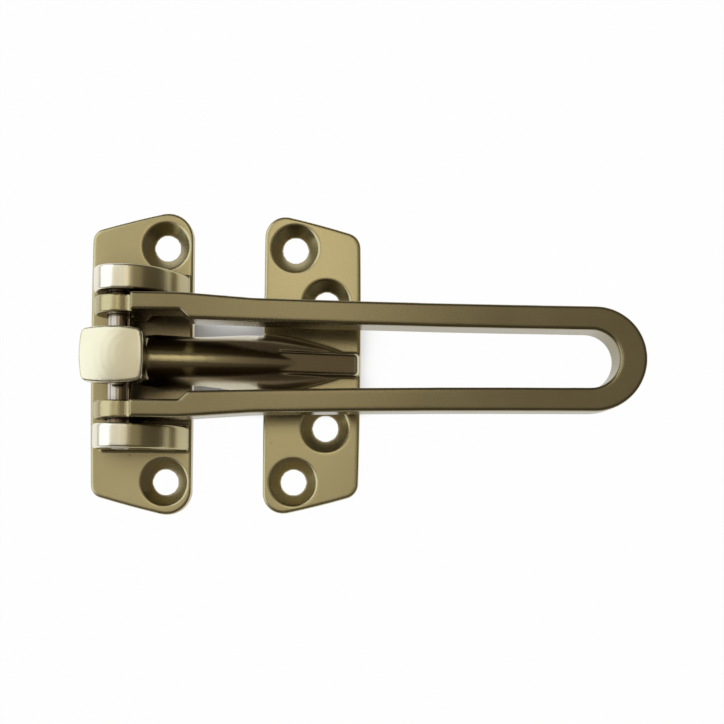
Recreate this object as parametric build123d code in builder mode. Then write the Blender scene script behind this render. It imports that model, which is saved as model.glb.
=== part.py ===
from build123d import *
import os

os.makedirs("parts", exist_ok=True)

# Swing bar door guard, in millimetres.
# It lies as it is screwed down: the backs of both plates are on Z = 0 and +Z points away from
# the door. The bar is locked along +X, the hinge pin lies along Y above the origin.

# Hinge axis
AXIS_Z = 9.7
PIN_R = 2.4
PIN_HALF = 19.0
PIN_END_CHAMFER = 0.35
RUNNING_CLEARANCE = 0.08

# Plates
PLATE_T = 2.8
EDGE_BREAK = 0.3
SCREW_HOLE_R = 2.75
SCREW_HEAD_R = 5.3
COUNTERSINK_ANGLE = 90

# Hinge plate outline, half of it: the short edge is on the left, the tall edge on the right
HINGE_SHORT_X = -7.75
HINGE_TALL_X = 14.35
HINGE_SHORT_HALF = 29.0
HINGE_TALL_HALF = 34.5
HINGE_TALL_CORNER_R = 5.5
HINGE_SHORT_CORNER_R = 2.8
EDGE_BOW = 0.3
TALL_EDGE_BOW = 0.1
HINGE_SCREW_X = 8.4
HINGE_SCREW_HALF = 26.0

# Lugs of the hinge plate
LUG_INNER = 13.9
LUG_OUTER = 19.2
LUG_NOSE_R = 5.5
LUG_CROWN_X = 1.4
LUG_SLOPE = (8.9, 12.0)
LUG_TOE = (13.75, 2.8)
LUG_ROOT = 1.0
LUG_EDGE_BREAK = 0.3

# Swing bar: the ears, the tapering arms and the end bow
BAR_BOTTOM = 9.8
BAR_TOP = 17.4
EYE_R = 5.3
EAR_INNER = 9.15
EAR_OUTER = 12.95
EAR_END_X = 13.9
STEP_X = 3.7
STEP_HOLLOW_R = 1.2
STEP_TOP_R = 0.6
HEEL_START_X = 0.6
HEEL_X = 4.5
HEEL_Z = 2.9
HEEL_RISE_X = 7.0
ARM_ROOT = (29.0, 11.85)
ARM_ROOT_R = 45.0
ARM_WAIST = (62.0, 11.2)
BOW_OUTER_R = 10.85
BOW_OUTER_X = 99.55
SLOT_SHOULDER = (15.7, 7.4)
SLOT_CORNER_R = 0.8
SLOT_WAIST = (45.0, 6.62)
BOW_INNER_R = 5.95
BOW_INNER_X = 98.75
BAR_EDGE_R = 0.6
BAR_UNDER_BREAK = 0.35

# Strike plate outline: the tall edge is on the left
STRIKE_TALL_X = 30.15
STRIKE_SHORT_X = 51.15
STRIKE_TALL_HALF = 33.75
STRIKE_SHORT_HALF = 28.5
STRIKE_TALL_CORNER_R = 4.5
STRIKE_SHORT_CORNER_R = 3.4
STRIKE_OUTER_SCREW_X = 36.8
STRIKE_OUTER_SCREW_HALF = 25.8
STRIKE_INNER_SCREW_X = 43.8
STRIKE_INNER_SCREW_HALF = 13.75

# Strike arm, one row per station along X:
# station, half width and height of the foot, half width and height of the shoulder, crest height
ARM_STATIONS = [
    (3.2, 4.9, 7.6, 3.3, 12.0, 13.6),
    (12.0, 5.5, 6.9, 3.4, 10.7, 12.4),
    (21.0, 5.75, 5.5, 3.5, 9.7, 11.4),
    (29.5, 6.5, 2.6, 3.6, 7.8, 9.6),
    (36.5, 6.0, 1.2, 3.2, 6.0, 7.6),
    (43.0, 4.7, 0.8, 2.5, 4.5, 5.7),
    (50.0, 2.6, 0.4, 1.3, 2.9, 3.6),
]

# Tongue that runs out of the arm to the far edge of the strike plate
TONGUE_START = (34.0, 7.9)
TONGUE_END = (51.0, 4.8)
TONGUE_HALF = 2.45
TONGUE_EDGE_BREAK = 0.45
TONGUE_CORNER_R = 0.9

# Cushion head over the pin
HEAD_X = -0.25
HEAD_LENGTH = 12.6
HEAD_WIDTH = 10.85
HEAD_BOW = 0.55
HEAD_CORNER_R = 1.4
HEAD_BOTTOM = 12.6
HEAD_BOTTOM_BREAK = (1.1, 0.8)
HEAD_CROWN_Z = 17.6
HEAD_CROWN_R = 48.0
HEAD_CROWN_X = 4.0
HEAD_EDGE_BREAK = 0.3

# Neck between head and arm, hollowed round the pin
NECK_HALF = 4.7
NECK_START_X = 3.4
NECK_END_X = 6.0
NECK_TOP = 13.6
PIN_HOLLOW_R = 3.1


def plate_outline(short_x, short_half, tall_x, tall_half):
    """Closed outline of a mounting plate whose long edges bow outwards a little."""
    middle_x = (short_x + tall_x) / 2
    middle_half = (short_half + tall_half) / 2 + EDGE_BOW
    side = 1 if tall_x > short_x else -1
    ThreePointArc((short_x, short_half), (middle_x, middle_half), (tall_x, tall_half))
    ThreePointArc((tall_x, tall_half), (tall_x + side * TALL_EDGE_BOW, 0), (tall_x, -tall_half))
    ThreePointArc((tall_x, -tall_half), (middle_x, -middle_half), (short_x, -short_half))
    ThreePointArc((short_x, -short_half), (short_x - side * EDGE_BOW, 0), (short_x, short_half))


def cushion_outline():
    """Closed rectangle with bowed sides, seen from above."""
    left = HEAD_X - HEAD_LENGTH / 2
    right = HEAD_X + HEAD_LENGTH / 2
    half = HEAD_WIDTH / 2
    ThreePointArc((left, -half), (HEAD_X, -half - HEAD_BOW), (right, -half))
    ThreePointArc((right, -half), (right + HEAD_BOW, 0), (right, half))
    ThreePointArc((right, half), (HEAD_X, half + HEAD_BOW), (left, half))
    ThreePointArc((left, half), (left - HEAD_BOW, 0), (left, -half))


# Hinge plate with its two lugs, one casting
with BuildPart() as hinge_plate:
    with BuildSketch() as hinge_outline:
        with BuildLine():
            plate_outline(HINGE_SHORT_X, HINGE_SHORT_HALF, HINGE_TALL_X, HINGE_TALL_HALF)
        make_face()
        fillet(hinge_outline.vertices().group_by(Axis.X)[-1], radius=HINGE_TALL_CORNER_R)
        fillet(hinge_outline.vertices().group_by(Axis.X)[0], radius=HINGE_SHORT_CORNER_R)
    extrude(amount=PLATE_T)
    chamfer(hinge_plate.faces().sort_by(Axis.Z)[-1].edges(), length=EDGE_BREAK)

    # Lug side view: round nose about the pin, crown, long fall to the far edge
    for lug_face in (LUG_OUTER, -LUG_INNER):
        with BuildSketch(Plane.XZ.offset(-lug_face)):
            with BuildLine():
                nose = CenterArc((0, AXIS_Z), LUG_NOSE_R, 180, -90)
                crown = Line(nose @ 1, (LUG_CROWN_X, AXIS_Z + LUG_NOSE_R))
                shoulder = TangentArc(crown @ 1, LUG_SLOPE, tangent=crown % 1)
                TangentArc(LUG_SLOPE, LUG_TOE, tangent=shoulder % 1)
                Polyline(
                    LUG_TOE, (LUG_TOE[0], PLATE_T - LUG_ROOT),
                    (-LUG_NOSE_R, PLATE_T - LUG_ROOT), nose @ 0,
                )
            make_face()
        extrude(amount=LUG_OUTER - LUG_INNER)
    lug_rims = hinge_plate.faces().filter_by(Axis.Y).edges()
    chamfer(lug_rims.filter_by_position(Axis.Z, AXIS_Z / 2, 2 * AXIS_Z), LUG_EDGE_BREAK)

    # Pin bores through both lugs
    with Locations(Location((0, 0, AXIS_Z), (90, 0, 0))):
        Cylinder(radius=PIN_R, height=2 * LUG_OUTER + 2, mode=Mode.SUBTRACT)

    # Countersunk screw holes
    with Locations(
        (HINGE_SCREW_X, HINGE_SCREW_HALF, PLATE_T),
        (HINGE_SCREW_X, -HINGE_SCREW_HALF, PLATE_T),
    ):
        CounterSinkHole(
            radius=SCREW_HOLE_R,
            counter_sink_radius=SCREW_HEAD_R,
            counter_sink_angle=COUNTERSINK_ANGLE,
        )

# Hinge pin, pressed into both lugs
with BuildPart() as hinge_pin:
    with Locations(Location((0, 0, AXIS_Z), (90, 0, 0))):
        Cylinder(radius=PIN_R, height=2 * PIN_HALF)
    chamfer(hinge_pin.edges().filter_by(GeomType.CIRCLE), length=PIN_END_CHAMFER)

# Swing bar: the side view gives eyes, step, heels and thickness, the plan gives ears and slot
with BuildPart() as swing_bar:
    with BuildSketch(Plane.XZ) as bar_side:
        with Locations((0, AXIS_Z)):
            Circle(EYE_R)
        with BuildLine():
            Polyline(
                (STEP_X, AXIS_Z), (STEP_X, BAR_TOP), (BOW_OUTER_X + BOW_OUTER_R + 1, BAR_TOP),
                (BOW_OUTER_X + BOW_OUTER_R + 1, BAR_BOTTOM), (HEEL_RISE_X, BAR_BOTTOM),
                (HEEL_X, HEEL_Z), (HEEL_START_X, HEEL_Z), (0, AXIS_Z), close=True,
            )
        make_face()
        step_corners = bar_side.vertices().filter_by_position(
            Axis.X, STEP_X - 0.01, STEP_X + 0.01
        )
        fillet(step_corners.sort_by(Axis.Y)[0], radius=STEP_HOLLOW_R)
        fillet(step_corners.sort_by(Axis.Y)[-1], radius=STEP_TOP_R)
    extrude(amount=EAR_OUTER, both=True)

    with BuildSketch() as bar_plan:
        with BuildLine():
            bow_start = (BOW_OUTER_X, BOW_OUTER_R)
            ear_line = Polyline((-EYE_R - 1, EAR_OUTER), (EAR_END_X, EAR_OUTER), ARM_ROOT)
            arm_line = ThreePointArc(ARM_ROOT, ARM_WAIST, bow_start)
            ThreePointArc(bow_start, (BOW_OUTER_X + BOW_OUTER_R, 0), (BOW_OUTER_X, -BOW_OUTER_R))
            mirror(ear_line, about=Plane.XZ)
            mirror(arm_line, about=Plane.XZ)
            Line(ear_line @ 0, (-EYE_R - 1, -EAR_OUTER))
        make_face()
        arm_corners = bar_plan.vertices().filter_by_position(
            Axis.X, EAR_END_X - 1, ARM_ROOT[0] + 1
        )
        fillet(arm_corners, radius=ARM_ROOT_R)
    extrude(amount=BAR_TOP + 1, mode=Mode.INTERSECT)

    with BuildSketch() as bar_slot:
        with BuildLine():
            slot_end = (BOW_INNER_X, BOW_INNER_R)
            slot_line = Polyline(
                (-EYE_R - 2, 0), (-EYE_R - 2, EAR_INNER), (EAR_END_X, EAR_INNER), SLOT_SHOULDER
            )
            slot_edge = ThreePointArc(SLOT_SHOULDER, SLOT_WAIST, slot_end)
            ThreePointArc(slot_end, (BOW_INNER_X + BOW_INNER_R, 0), (BOW_INNER_X, -BOW_INNER_R))
            mirror(slot_line, about=Plane.XZ)
            mirror(slot_edge, about=Plane.XZ)
        make_face()
        slot_corners = bar_slot.vertices().filter_by_position(
            Axis.X, EAR_END_X - 1, SLOT_SHOULDER[0] + 1
        )
        fillet(slot_corners, radius=SLOT_CORNER_R)
    extrude(amount=BAR_TOP + 1, mode=Mode.SUBTRACT)

    bar_face = swing_bar.faces().filter_by(Plane.XY).sort_by(Axis.Z)[-1]
    bar_rims = bar_face.edges().filter_by_position(Axis.X, STEP_X + 2, BOW_OUTER_X + 20)
    fillet(bar_rims, radius=BAR_EDGE_R)
    under_faces = swing_bar.faces().filter_by(Plane.XY).filter_by_position(
        Axis.Z, BAR_BOTTOM - 0.01, BAR_BOTTOM + 0.01
    )
    under_rims = under_faces.edges().filter_by_position(Axis.X, SLOT_SHOULDER[0], BOW_OUTER_X + 20)
    chamfer(under_rims, length=BAR_UNDER_BREAK)

    # Eye bores run free on the pin
    with Locations(Location((0, 0, AXIS_Z), (90, 0, 0))):
        Cylinder(
            radius=PIN_R + RUNNING_CLEARANCE,
            height=2 * EAR_OUTER + 2,
            mode=Mode.SUBTRACT,
        )

# Strike head: a cushion with bowed sides and a crowned face
with BuildPart() as strike_head:
    with BuildSketch(Plane.XY.offset(HEAD_BOTTOM)) as head_plan:
        with BuildLine():
            cushion_outline()
        make_face()
        fillet(head_plan.vertices(), radius=HEAD_CORNER_R)
    extrude(amount=HEAD_CROWN_Z + 1 - HEAD_BOTTOM)
    head_foot = strike_head.faces().sort_by(Axis.Z)[0]
    chamfer(head_foot.edges(), length=HEAD_BOTTOM_BREAK[0], length2=HEAD_BOTTOM_BREAK[1])
    with Locations((HEAD_CROWN_X, 0, HEAD_CROWN_Z - HEAD_CROWN_R)):
        Sphere(radius=HEAD_CROWN_R, mode=Mode.INTERSECT)
    crown = strike_head.faces().filter_by(GeomType.SPHERE)
    chamfer(crown.edges(), length=HEAD_EDGE_BREAK)

# Strike arm: a rounded rib lofted from the neck down into the plate
with BuildPart() as strike_arm:
    for x, foot, foot_z, shoulder, shoulder_z, crest_z in ARM_STATIONS:
        with BuildSketch(Plane.YZ.offset(x)):
            with BuildLine():
                rib = Spline(
                    (-foot, foot_z), (-shoulder, shoulder_z), (0, crest_z),
                    (shoulder, shoulder_z), (foot, foot_z), tangents=[(0.25, 1), (0.25, -1)],
                )
                Line(rib @ 1, rib @ 0)
            make_face()
    loft()
    split(bisect_by=Plane.XY.offset(PLATE_T / 2), keep=Keep.TOP)

# Tongue: a narrow bar with rounded edges that shows where the arm sinks into the plate
with BuildPart() as strike_tongue:
    with BuildSketch(Plane.XZ):
        with BuildLine():
            Polyline(
                TONGUE_START, TONGUE_END, (TONGUE_END[0], PLATE_T / 2),
                (TONGUE_START[0], PLATE_T / 2), close=True,
            )
        make_face()
    extrude(amount=TONGUE_HALF, both=True)
    tongue_end = strike_tongue.faces().sort_by(Axis.X)[-1]
    fillet(tongue_end.edges().filter_by(Axis.Z), radius=TONGUE_CORNER_R)
    tongue_top = strike_tongue.faces().sort_by(Axis.Z)[-1]
    tongue_rims = tongue_top.edges().group_by(SortBy.LENGTH)[-1]
    chamfer(tongue_rims, length=TONGUE_EDGE_BREAK)

# Strike: plate, arm and head are one casting
with BuildPart() as strike:
    with BuildSketch() as strike_outline:
        with BuildLine():
            plate_outline(STRIKE_SHORT_X, STRIKE_SHORT_HALF, STRIKE_TALL_X, STRIKE_TALL_HALF)
        make_face()
        fillet(strike_outline.vertices().group_by(Axis.X)[0], radius=STRIKE_TALL_CORNER_R)
        fillet(strike_outline.vertices().group_by(Axis.X)[-1], radius=STRIKE_SHORT_CORNER_R)
    extrude(amount=PLATE_T)
    chamfer(strike.faces().sort_by(Axis.Z)[-1].edges(), length=EDGE_BREAK)
    with Locations(
        (STRIKE_OUTER_SCREW_X, STRIKE_OUTER_SCREW_HALF, PLATE_T),
        (STRIKE_OUTER_SCREW_X, -STRIKE_OUTER_SCREW_HALF, PLATE_T),
        (STRIKE_INNER_SCREW_X, STRIKE_INNER_SCREW_HALF, PLATE_T),
        (STRIKE_INNER_SCREW_X, -STRIKE_INNER_SCREW_HALF, PLATE_T),
    ):
        CounterSinkHole(
            radius=SCREW_HOLE_R,
            counter_sink_radius=SCREW_HEAD_R,
            counter_sink_angle=COUNTERSINK_ANGLE,
        )
    add(strike_arm.part)
    add(strike_tongue.part)
    add(strike_head.part)

    with BuildSketch(Plane.XZ):
        with BuildLine():
            Polyline(
                (0, NECK_TOP), (0, AXIS_Z), (NECK_START_X, AXIS_Z), (NECK_END_X, AXIS_Z),
                (NECK_END_X, NECK_TOP), close=True,
            )
        make_face()
    extrude(amount=NECK_HALF, both=True)
    with Locations(Location((0, 0, AXIS_Z), (90, 0, 0))):
        Cylinder(radius=PIN_HOLLOW_R, height=4 * NECK_HALF, mode=Mode.SUBTRACT)

hinge_plate.part.label = "hinge_plate"
hinge_pin.part.label = "hinge_pin"
swing_bar.part.label = "swing_bar"
strike.part.label = "strike"
export_step(hinge_plate.part, "parts/hinge_plate.step")
export_step(hinge_pin.part, "parts/hinge_pin.step")
export_step(swing_bar.part, "parts/swing_bar.step")
export_step(strike.part, "parts/strike.step")
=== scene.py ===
import math

import bpy
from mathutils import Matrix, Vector


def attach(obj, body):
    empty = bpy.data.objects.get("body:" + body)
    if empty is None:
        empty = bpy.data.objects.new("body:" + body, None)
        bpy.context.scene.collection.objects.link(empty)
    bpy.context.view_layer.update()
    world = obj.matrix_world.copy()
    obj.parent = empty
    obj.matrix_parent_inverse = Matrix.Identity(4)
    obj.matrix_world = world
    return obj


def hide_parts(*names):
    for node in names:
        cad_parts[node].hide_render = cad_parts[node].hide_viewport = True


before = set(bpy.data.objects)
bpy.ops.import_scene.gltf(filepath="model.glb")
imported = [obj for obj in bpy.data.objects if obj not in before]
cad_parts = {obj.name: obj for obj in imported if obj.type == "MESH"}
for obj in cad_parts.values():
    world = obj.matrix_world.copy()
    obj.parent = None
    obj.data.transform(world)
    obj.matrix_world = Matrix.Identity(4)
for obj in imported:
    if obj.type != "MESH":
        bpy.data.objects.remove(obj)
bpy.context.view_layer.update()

MM = 0.001


def millimetres(start, end):
    return start * MM, end * MM


# Shader writing

class Wire:
    """A node's output socket. Arithmetic on it adds Math nodes."""

    def __init__(self, finish, socket):
        self.finish = finish
        self.socket = socket

    def math(self, operation, *values):
        return self.finish.node("Math", {"operation": operation}, *values)["Value"]

    def __add__(self, other):
        return self.math("ADD", self, other)

    def __radd__(self, other):
        return self.math("ADD", other, self)

    def __sub__(self, other):
        return self.math("SUBTRACT", self, other)

    def __rsub__(self, other):
        return self.math("SUBTRACT", other, self)

    def __mul__(self, other):
        return self.math("MULTIPLY", self, other)

    def __rmul__(self, other):
        return self.math("MULTIPLY", other, self)

    def __abs__(self):
        return self.math("ABSOLUTE", self)

    def larger(self, other):
        return self.math("MAXIMUM", self, other)

    def rises(self, span):
        """0 before the span, 1 past it, easing between."""
        start, end = span
        settings = {"interpolation_type": "SMOOTHSTEP"}
        return self.finish.node("MapRange", settings, Value=self, From_Min=start, From_Max=end)["Result"]

    def falls(self, span):
        """1 before the span, 0 past it."""
        return 1.0 - self.rises(span)


class Finish:
    """The shader nodes of one material, or of the room."""

    def __init__(self, owner):
        self.owner = owner
        owner.use_nodes = True
        self.tree = owner.node_tree
        self.tree.nodes.clear()

    def put(self, socket, value):
        if isinstance(value, Wire):
            self.tree.links.new(value.socket, socket)
        else:
            socket.default_value = value

    def node(self, kind, settings=None, *values, **named):
        """Adds a node: its settings first, then its sockets by place or by name."""
        made = self.tree.nodes.new("ShaderNode" + kind)
        for key, value in (settings or {}).items():
            setattr(made, key, value)
        for socket, value in zip(made.inputs, values):
            self.put(socket, value)
        for key, value in named.items():
            self.put(made.inputs[key.replace("_", " ")], value)
        return {socket.name: Wire(self, socket) for socket in made.outputs if socket.enabled}

    def blend(self, amount, first, second, mode="MIX"):
        settings = {"data_type": "RGBA", "blend_type": mode}
        return self.node("Mix", settings, amount, A=first, B=second)["Result"]

    def noise(self, place, scale, detail):
        return self.node("TexNoise", None, Vector=place, Scale=scale, Detail=detail)["Fac"]

    def openness(self, samples, distance):
        """1 on an open face, falling towards 0 in a recess."""
        return self.node("AmbientOcclusion", {"samples": samples}, Distance=distance)["AO"]

    def done(self, shader, output="OutputMaterial"):
        self.node(output, None, shader)
        return self.owner


# Satin plating: texture scales are in cells to the metre
GRAIN_SCALE = 2600.0
CLOUD_SCALE = 120.0
PATCH_SCALE = 170.0
SPECK_SCALE = 260.0
NOISE_MIDDLE = 0.5
CLOUD_ROUGHNESS = 0.10
GRAIN_ROUGHNESS = 0.08
PIT_RIM = (0.035, 0.07)
PITTED_PATCH = (0.6, 0.66)
GRAIN_RELIEF = 0.3
CLOUD_RELIEF = 0.5
RELIEF_HEIGHT = 0.1 * MM
RELIEF_STRENGTH = 0.06
RECESS_SAMPLES = 6
RECESS_REACH = 11.0 * MM
RECESS_OPENNESS = (0.06, 0.88)
# How deep the painted shade of a shade mask goes
PAINTED_SHADE_DEPTH = 0.72
# Dark colour for the pits in the plating and for painted shade in recesses
PAINTED_SHADE_AND_PITS = (0.13, 0.09, 0.055, 1.0)
RUBBED = (0.82, 0.80, 0.76, 1.0)


def satin_metal(name, colour, roughness, accent, accent_mask, painted_shade_mask=None):
    """Plated metal with grain, clouds, pits, painted shade in its recesses and an accent colour."""
    finish = Finish(bpy.data.materials.new(name))
    place = finish.node("TexCoord")["Object"]
    axes = finish.node("SeparateXYZ", None, place).values()
    grain = finish.noise(place, GRAIN_SCALE, detail=3.0)
    cloud = finish.noise(place, CLOUD_SCALE, detail=4.0)
    patch = finish.noise(place, PATCH_SCALE, detail=0.0)
    speck = finish.node("TexVoronoi", None, Vector=place, Scale=SPECK_SCALE)["Distance"]
    pit = speck.falls(PIT_RIM) * patch.rises(PITTED_PATCH)

    tint = finish.blend(accent_mask(*axes), colour, accent)
    worn = finish.blend(1.0 - cloud, tint, RUBBED, mode="MULTIPLY")
    # Painted shade: darker in recesses found by ambient occlusion, and darker in the pits of the plating
    unshaded_unpitted = finish.openness(RECESS_SAMPLES, RECESS_REACH).rises(RECESS_OPENNESS) * (1.0 - pit)
    # Painted shade from a mask, such as along the top of the strike's arm
    if painted_shade_mask:
        unshaded_unpitted = unshaded_unpitted * (1.0 - painted_shade_mask(*axes) * PAINTED_SHADE_DEPTH)

    uneven = roughness + (cloud - NOISE_MIDDLE) * CLOUD_ROUGHNESS
    relief = grain * GRAIN_RELIEF + cloud * CLOUD_RELIEF - pit
    bump = finish.node("Bump", None, Strength=RELIEF_STRENGTH, Distance=RELIEF_HEIGHT, Height=relief)
    metal = finish.node(
        "BsdfPrincipled", None,
        Base_Color=finish.blend(unshaded_unpitted, PAINTED_SHADE_AND_PITS, worn), Metallic=1.0,
        Roughness=uneven + (grain - NOISE_MIDDLE) * GRAIN_ROUGHNESS, Normal=bump["Normal"],
    )
    return finish.done(metal["BSDF"])


# Colours and roughness of the metals, colours in linear values
CHAMPAGNE = (0.53, 0.47, 0.27, 1.0)
CREAM = (0.80, 0.76, 0.58, 1.0)
PALE = (0.94, 0.91, 0.78, 1.0)
BRONZE = (0.295, 0.255, 0.145, 1.0)
STEEL = (0.80, 0.77, 0.68, 1.0)
UMBER = (0.34, 0.285, 0.18, 1.0)
SATIN = 0.24
BAR_SATIN = 0.26
POLISHED = 0.12


# Hinge plate: painted highlight, pale on the tops of its lugs
LUG_RISE = millimetres(3.2, 7.0)
LUG_SHADE = millimetres(1.2, 4.2)


def painted_lug_highlight(x, y, z):
    return z.rises(LUG_RISE) * x.falls(LUG_SHADE)


# Swing bar: bronze from the step behind its eyes to the end bow
BAR_STEP = millimetres(3.6, 4.2)


def past_the_step(x, y, z):
    return x.rises(BAR_STEP)


# Strike: painted highlight in cream on its head and round the tongue, and painted reflection on the
# arm's flanks
HEAD_RISE = millimetres(12.4, 14.5)
HEAD_END = millimetres(6.2, 7.2)
ABOVE_PLATE = millimetres(3.2, 3.7)
RIM_IN = millimetres(1.9, 2.2)
RIM_OUT = millimetres(2.6, 2.8)
RIM_START = millimetres(41.5, 44.0)
TIP_START = millimetres(50.2, 50.6)
TIP_HALF = millimetres(2.3, 2.7)
FLANK_IN = millimetres(3.9, 4.9)
FLANK_OUT = millimetres(6.2, 6.8)
FLANK_START = millimetres(14.0, 19.0)
FLANK_END = millimetres(28.9, 29.5)


def painted_strike_highlights(x, y, z):
    side = abs(y)
    head = z.rises(HEAD_RISE) * x.falls(HEAD_END)
    rim = side.rises(RIM_IN) * side.falls(RIM_OUT) * x.rises(RIM_START)
    tip = x.rises(TIP_START) * side.falls(TIP_HALF)
    between_plates = x.rises(FLANK_START) * x.falls(FLANK_END)
    flank = side.rises(FLANK_IN) * side.falls(FLANK_OUT) * between_plates
    return head + z.rises(ABOVE_PLATE) * (rim + tip + flank)


# Strike: painted shade along the arm's top, apart from its flanks and its crest near the neck
ARM_START = millimetres(6.3, 7.5)
ARM_END = millimetres(49.8, 50.4)
ARM_RISE = millimetres(3.3, 4.0)
ARM_HALF = millimetres(5.6, 6.4)
CREST_LEFT = millimetres(-2.0, -0.8)
CREST_RIGHT = millimetres(1.8, 3.0)
CREST_FADE = millimetres(13.0, 34.0)
CLEAR_FLANK = millimetres(4.0, 5.0)
CLEAR_FLANK_END = millimetres(28.8, 29.6)


def painted_arm_shade(x, y, z):
    side = abs(y)
    arm = x.rises(ARM_START) * x.falls(ARM_END) * z.rises(ARM_RISE) * side.falls(ARM_HALF)
    crest = y.rises(CREST_LEFT) * y.falls(CREST_RIGHT) * x.falls(CREST_FADE)
    flank = side.rises(CLEAR_FLANK) * x.falls(CLEAR_FLANK_END)
    return arm * (1.0 - crest) * (1.0 - flank)


# Hinge pin: bright only where it is bare between the eyes, on the side away from the bar
PIN_BRIGHT_SIDE = millimetres(-0.2, 0.8)
PIN_BARE_HALF = millimetres(9.0, 9.6)


def shaded_pin(x, y, z):
    return 1.0 - x.falls(PIN_BRIGHT_SIDE) * abs(y).falls(PIN_BARE_HALF)


# Accents: painted highlights on the plate and the strike, painted shade on the pin, a darker bronze tone
# on the bar
plate_metal = satin_metal("satin_plate", CHAMPAGNE, SATIN, PALE, painted_lug_highlight)
bar_metal = satin_metal("satin_bar", CHAMPAGNE, BAR_SATIN, BRONZE, past_the_step)
strike_metal = satin_metal("satin_strike", CHAMPAGNE, SATIN, CREAM, painted_strike_highlights, painted_arm_shade)
pin_metal = satin_metal("polished_pin", STEEL, POLISHED, UMBER, shaded_pin)


# Castings
CASTING_GRAIN = 0.26 * MM
TUMBLE_SOFTNESS = 0.5
TUMBLE_PASSES = 5


def cast(node):
    """The CAD node as it leaves the mould: every edge and corner softened."""
    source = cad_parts[node]
    rough_cast = source.copy()
    rough_cast.data = source.data.copy()
    bpy.context.scene.collection.objects.link(rough_cast)
    mould = rough_cast.modifiers.new("mould", "REMESH")
    mould.mode = "VOXEL"
    mould.voxel_size = CASTING_GRAIN
    tumble = rough_cast.modifiers.new("tumble", "SMOOTH")
    tumble.factor = TUMBLE_SOFTNESS
    tumble.iterations = TUMBLE_PASSES
    graph = bpy.context.evaluated_depsgraph_get()
    mesh = bpy.data.meshes.new_from_object(rough_cast.evaluated_get(graph), depsgraph=graph)
    bpy.data.objects.remove(rough_cast)
    mesh.shade_smooth()
    piece = bpy.data.objects.new(node + "_cast", mesh)
    bpy.context.scene.collection.objects.link(piece)
    return piece


for node, body, slot_name, metal in (
    ("hinge_plate", "hinge", "plate_metal", plate_metal),
    ("swing_bar", "bar", "bar_metal", bar_metal),
    ("strike", "strike", "strike_metal", strike_metal),
):
    piece = cast(node)
    piece.data.materials.clear()
    piece.data.materials.append(metal)
    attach(piece, body)
    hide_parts(node)
for pin_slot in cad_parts["hinge_pin"].material_slots:
    pin_slot.material = pin_metal


# Floor: white paper, shaded under the arm, darker where it is reflected from far off
WHITE = (1.0, 1.0, 1.0, 1.0)
LIT_PAPER = (0.9, 0.9, 0.9, 1.0)
PAPER_WHITE = 0.985
FLOOR_HALF = 3.0
FLOOR_DROP = 0.1 * MM
SHADE_SAMPLES = 12
SHADE_REACH = 13.0 * MM
SHADE_OPENNESS = (0.45, 0.85)
SHADE_DEPTH = 0.885
SHADE_START = millimetres(12.0, 14.0)
SHADE_END = millimetres(40.0, 60.0)
SHADE_HALF = millimetres(8.5, 12.0)
FAR_PAPER = millimetres(100.0, 320.0)
FAR_PAPER_LOSS = 0.62


def paper():
    finish = Finish(bpy.data.materials.new("floor"))
    place = finish.node("TexCoord")["Object"]
    axes = finish.node("SeparateXYZ", None, place)
    along_arm = axes["X"].rises(SHADE_START) * axes["X"].falls(SHADE_END)
    under_arm = along_arm * abs(axes["Y"]).falls(SHADE_HALF)
    closed = finish.openness(SHADE_SAMPLES, SHADE_REACH).falls(SHADE_OPENNESS)
    seen = PAPER_WHITE - closed * under_arm * SHADE_DEPTH
    distance = finish.node("VectorMath", {"operation": "LENGTH"}, place)["Value"]
    reflected = PAPER_WHITE - distance.rises(FAR_PAPER) * FAR_PAPER_LOSS
    rays = finish.node("LightPath")
    shown = (rays["Is Camera Ray"] * seen).larger(rays["Is Glossy Ray"] * reflected)
    lit = finish.node("BsdfDiffuse", None, LIT_PAPER)["BSDF"]
    white = finish.node("Emission", None, WHITE, 1.0)["Emission"]
    return finish.done(finish.node("MixShader", None, shown, lit, white)["Shader"])


floor_mesh = bpy.data.meshes.new("floor")
corners = [(x * FLOOR_HALF, y * FLOOR_HALF, 0) for x, y in ((-1, -1), (1, -1), (1, 1), (-1, 1))]
floor_mesh.from_pydata(corners, [], [(0, 1, 2, 3)])
floor_mesh.materials.append(paper())
floor = bpy.data.objects.new("floor", floor_mesh)
bpy.context.scene.collection.objects.link(floor)
floor.location.z = -FLOOR_DROP


# Lamps: three warm soft boxes overhead and a large cool window on the left
WARM = (1.0, 0.94, 0.80)
WARMER = (1.0, 0.93, 0.80)
COOL = (0.88, 0.94, 1.0)
WINDOW_AIM = (0.04, 0.0, 0.0)


def softbox(name, place, aim, size, power, colour):
    light = bpy.data.lights.new(name, "AREA")
    light.shape = "RECTANGLE"
    light.size, light.size_y = size
    light.energy = power
    light.color = colour
    lamp = bpy.data.objects.new(name, light)
    lamp.location = place
    lamp.rotation_euler = (Vector(aim) - Vector(place)).to_track_quat("-Z", "Y").to_euler()
    lamp.visible_camera = False
    bpy.context.scene.collection.objects.link(lamp)


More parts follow.
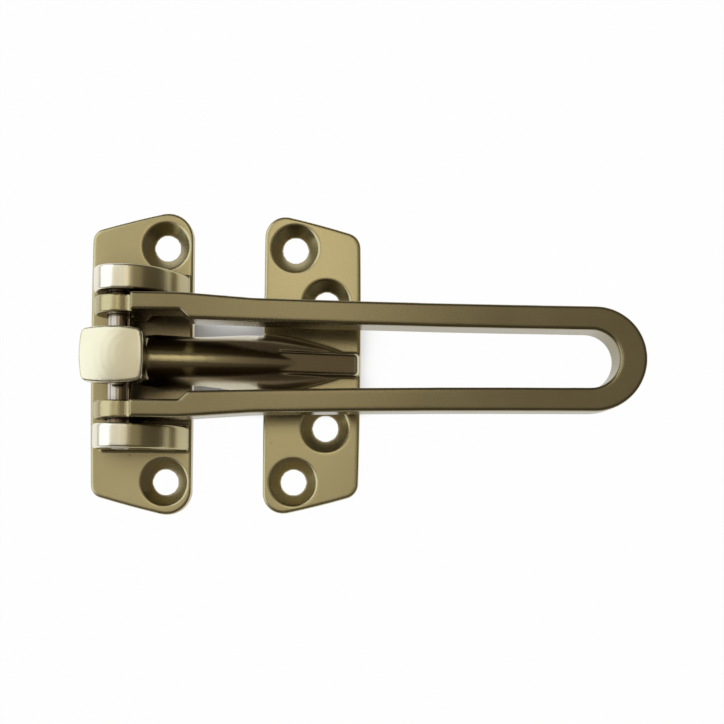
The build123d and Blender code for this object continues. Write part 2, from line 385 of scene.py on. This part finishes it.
def overhead(name, place, size, power, colour):
    below = (place[0], place[1], 0.0)
    softbox(name, place, below, size, power, colour)


overhead("ceiling", place=(-0.15, 0.20, 0.85), size=(0.46, 0.75), power=0.64, colour=WARM)
overhead("skylight", place=(0.03, 0.29, 0.84), size=(0.18, 0.46), power=0.16, colour=WARM)
overhead("fill", place=(0.36, 0.18, 0.86), size=(0.50, 0.80), power=0.30, colour=WARMER)
softbox("window", place=(-0.65, 0.15, 0.49), aim=WINDOW_AIM, size=(1.25, 0.9), power=4.7, colour=COOL)


# Room: dim and warm around the part, with a white backdrop for the camera alone
ROOM_COLOUR = (1.0, 0.88, 0.72, 1.0)
ROOM_STRENGTH = 0.15


def room():
    finish = Finish(bpy.data.worlds.new("studio"))
    dim = finish.node("Background", None, Color=ROOM_COLOUR, Strength=ROOM_STRENGTH)["Background"]
    backdrop = finish.node("Background", None, Color=WHITE, Strength=PAPER_WHITE)["Background"]
    seen = finish.node("LightPath")["Is Camera Ray"]
    either = finish.node("MixShader", None, seen, dim, backdrop)["Shader"]
    return finish.done(either, output="OutputWorld")


bpy.context.scene.world = room()


# Camera: straight down from close by, as the photograph was taken
IMAGE_PX = 724
FOCAL_PX = 995.0
PRINCIPAL_X_PX = 350.0
PRINCIPAL_Y_PX = 505.3
SENSOR_MM = 36.0
CAMERA_PLACE = (0.04943, -0.0307, 0.2218)
CAMERA_ROLL = math.radians(0.60)

camera_data = bpy.data.cameras.new("camera")
camera_data.sensor_width = SENSOR_MM
camera_data.lens = FOCAL_PX / IMAGE_PX * SENSOR_MM
camera_data.shift_x = (IMAGE_PX / 2 - PRINCIPAL_X_PX) / IMAGE_PX
camera_data.shift_y = (PRINCIPAL_Y_PX - IMAGE_PX / 2) / IMAGE_PX
camera = bpy.data.objects.new("camera", camera_data)
camera.location = CAMERA_PLACE
camera.rotation_euler = (0, 0, CAMERA_ROLL)
bpy.context.scene.collection.objects.link(camera)
bpy.context.scene.camera = camera
bpy.context.scene.view_settings.view_transform = "Standard"
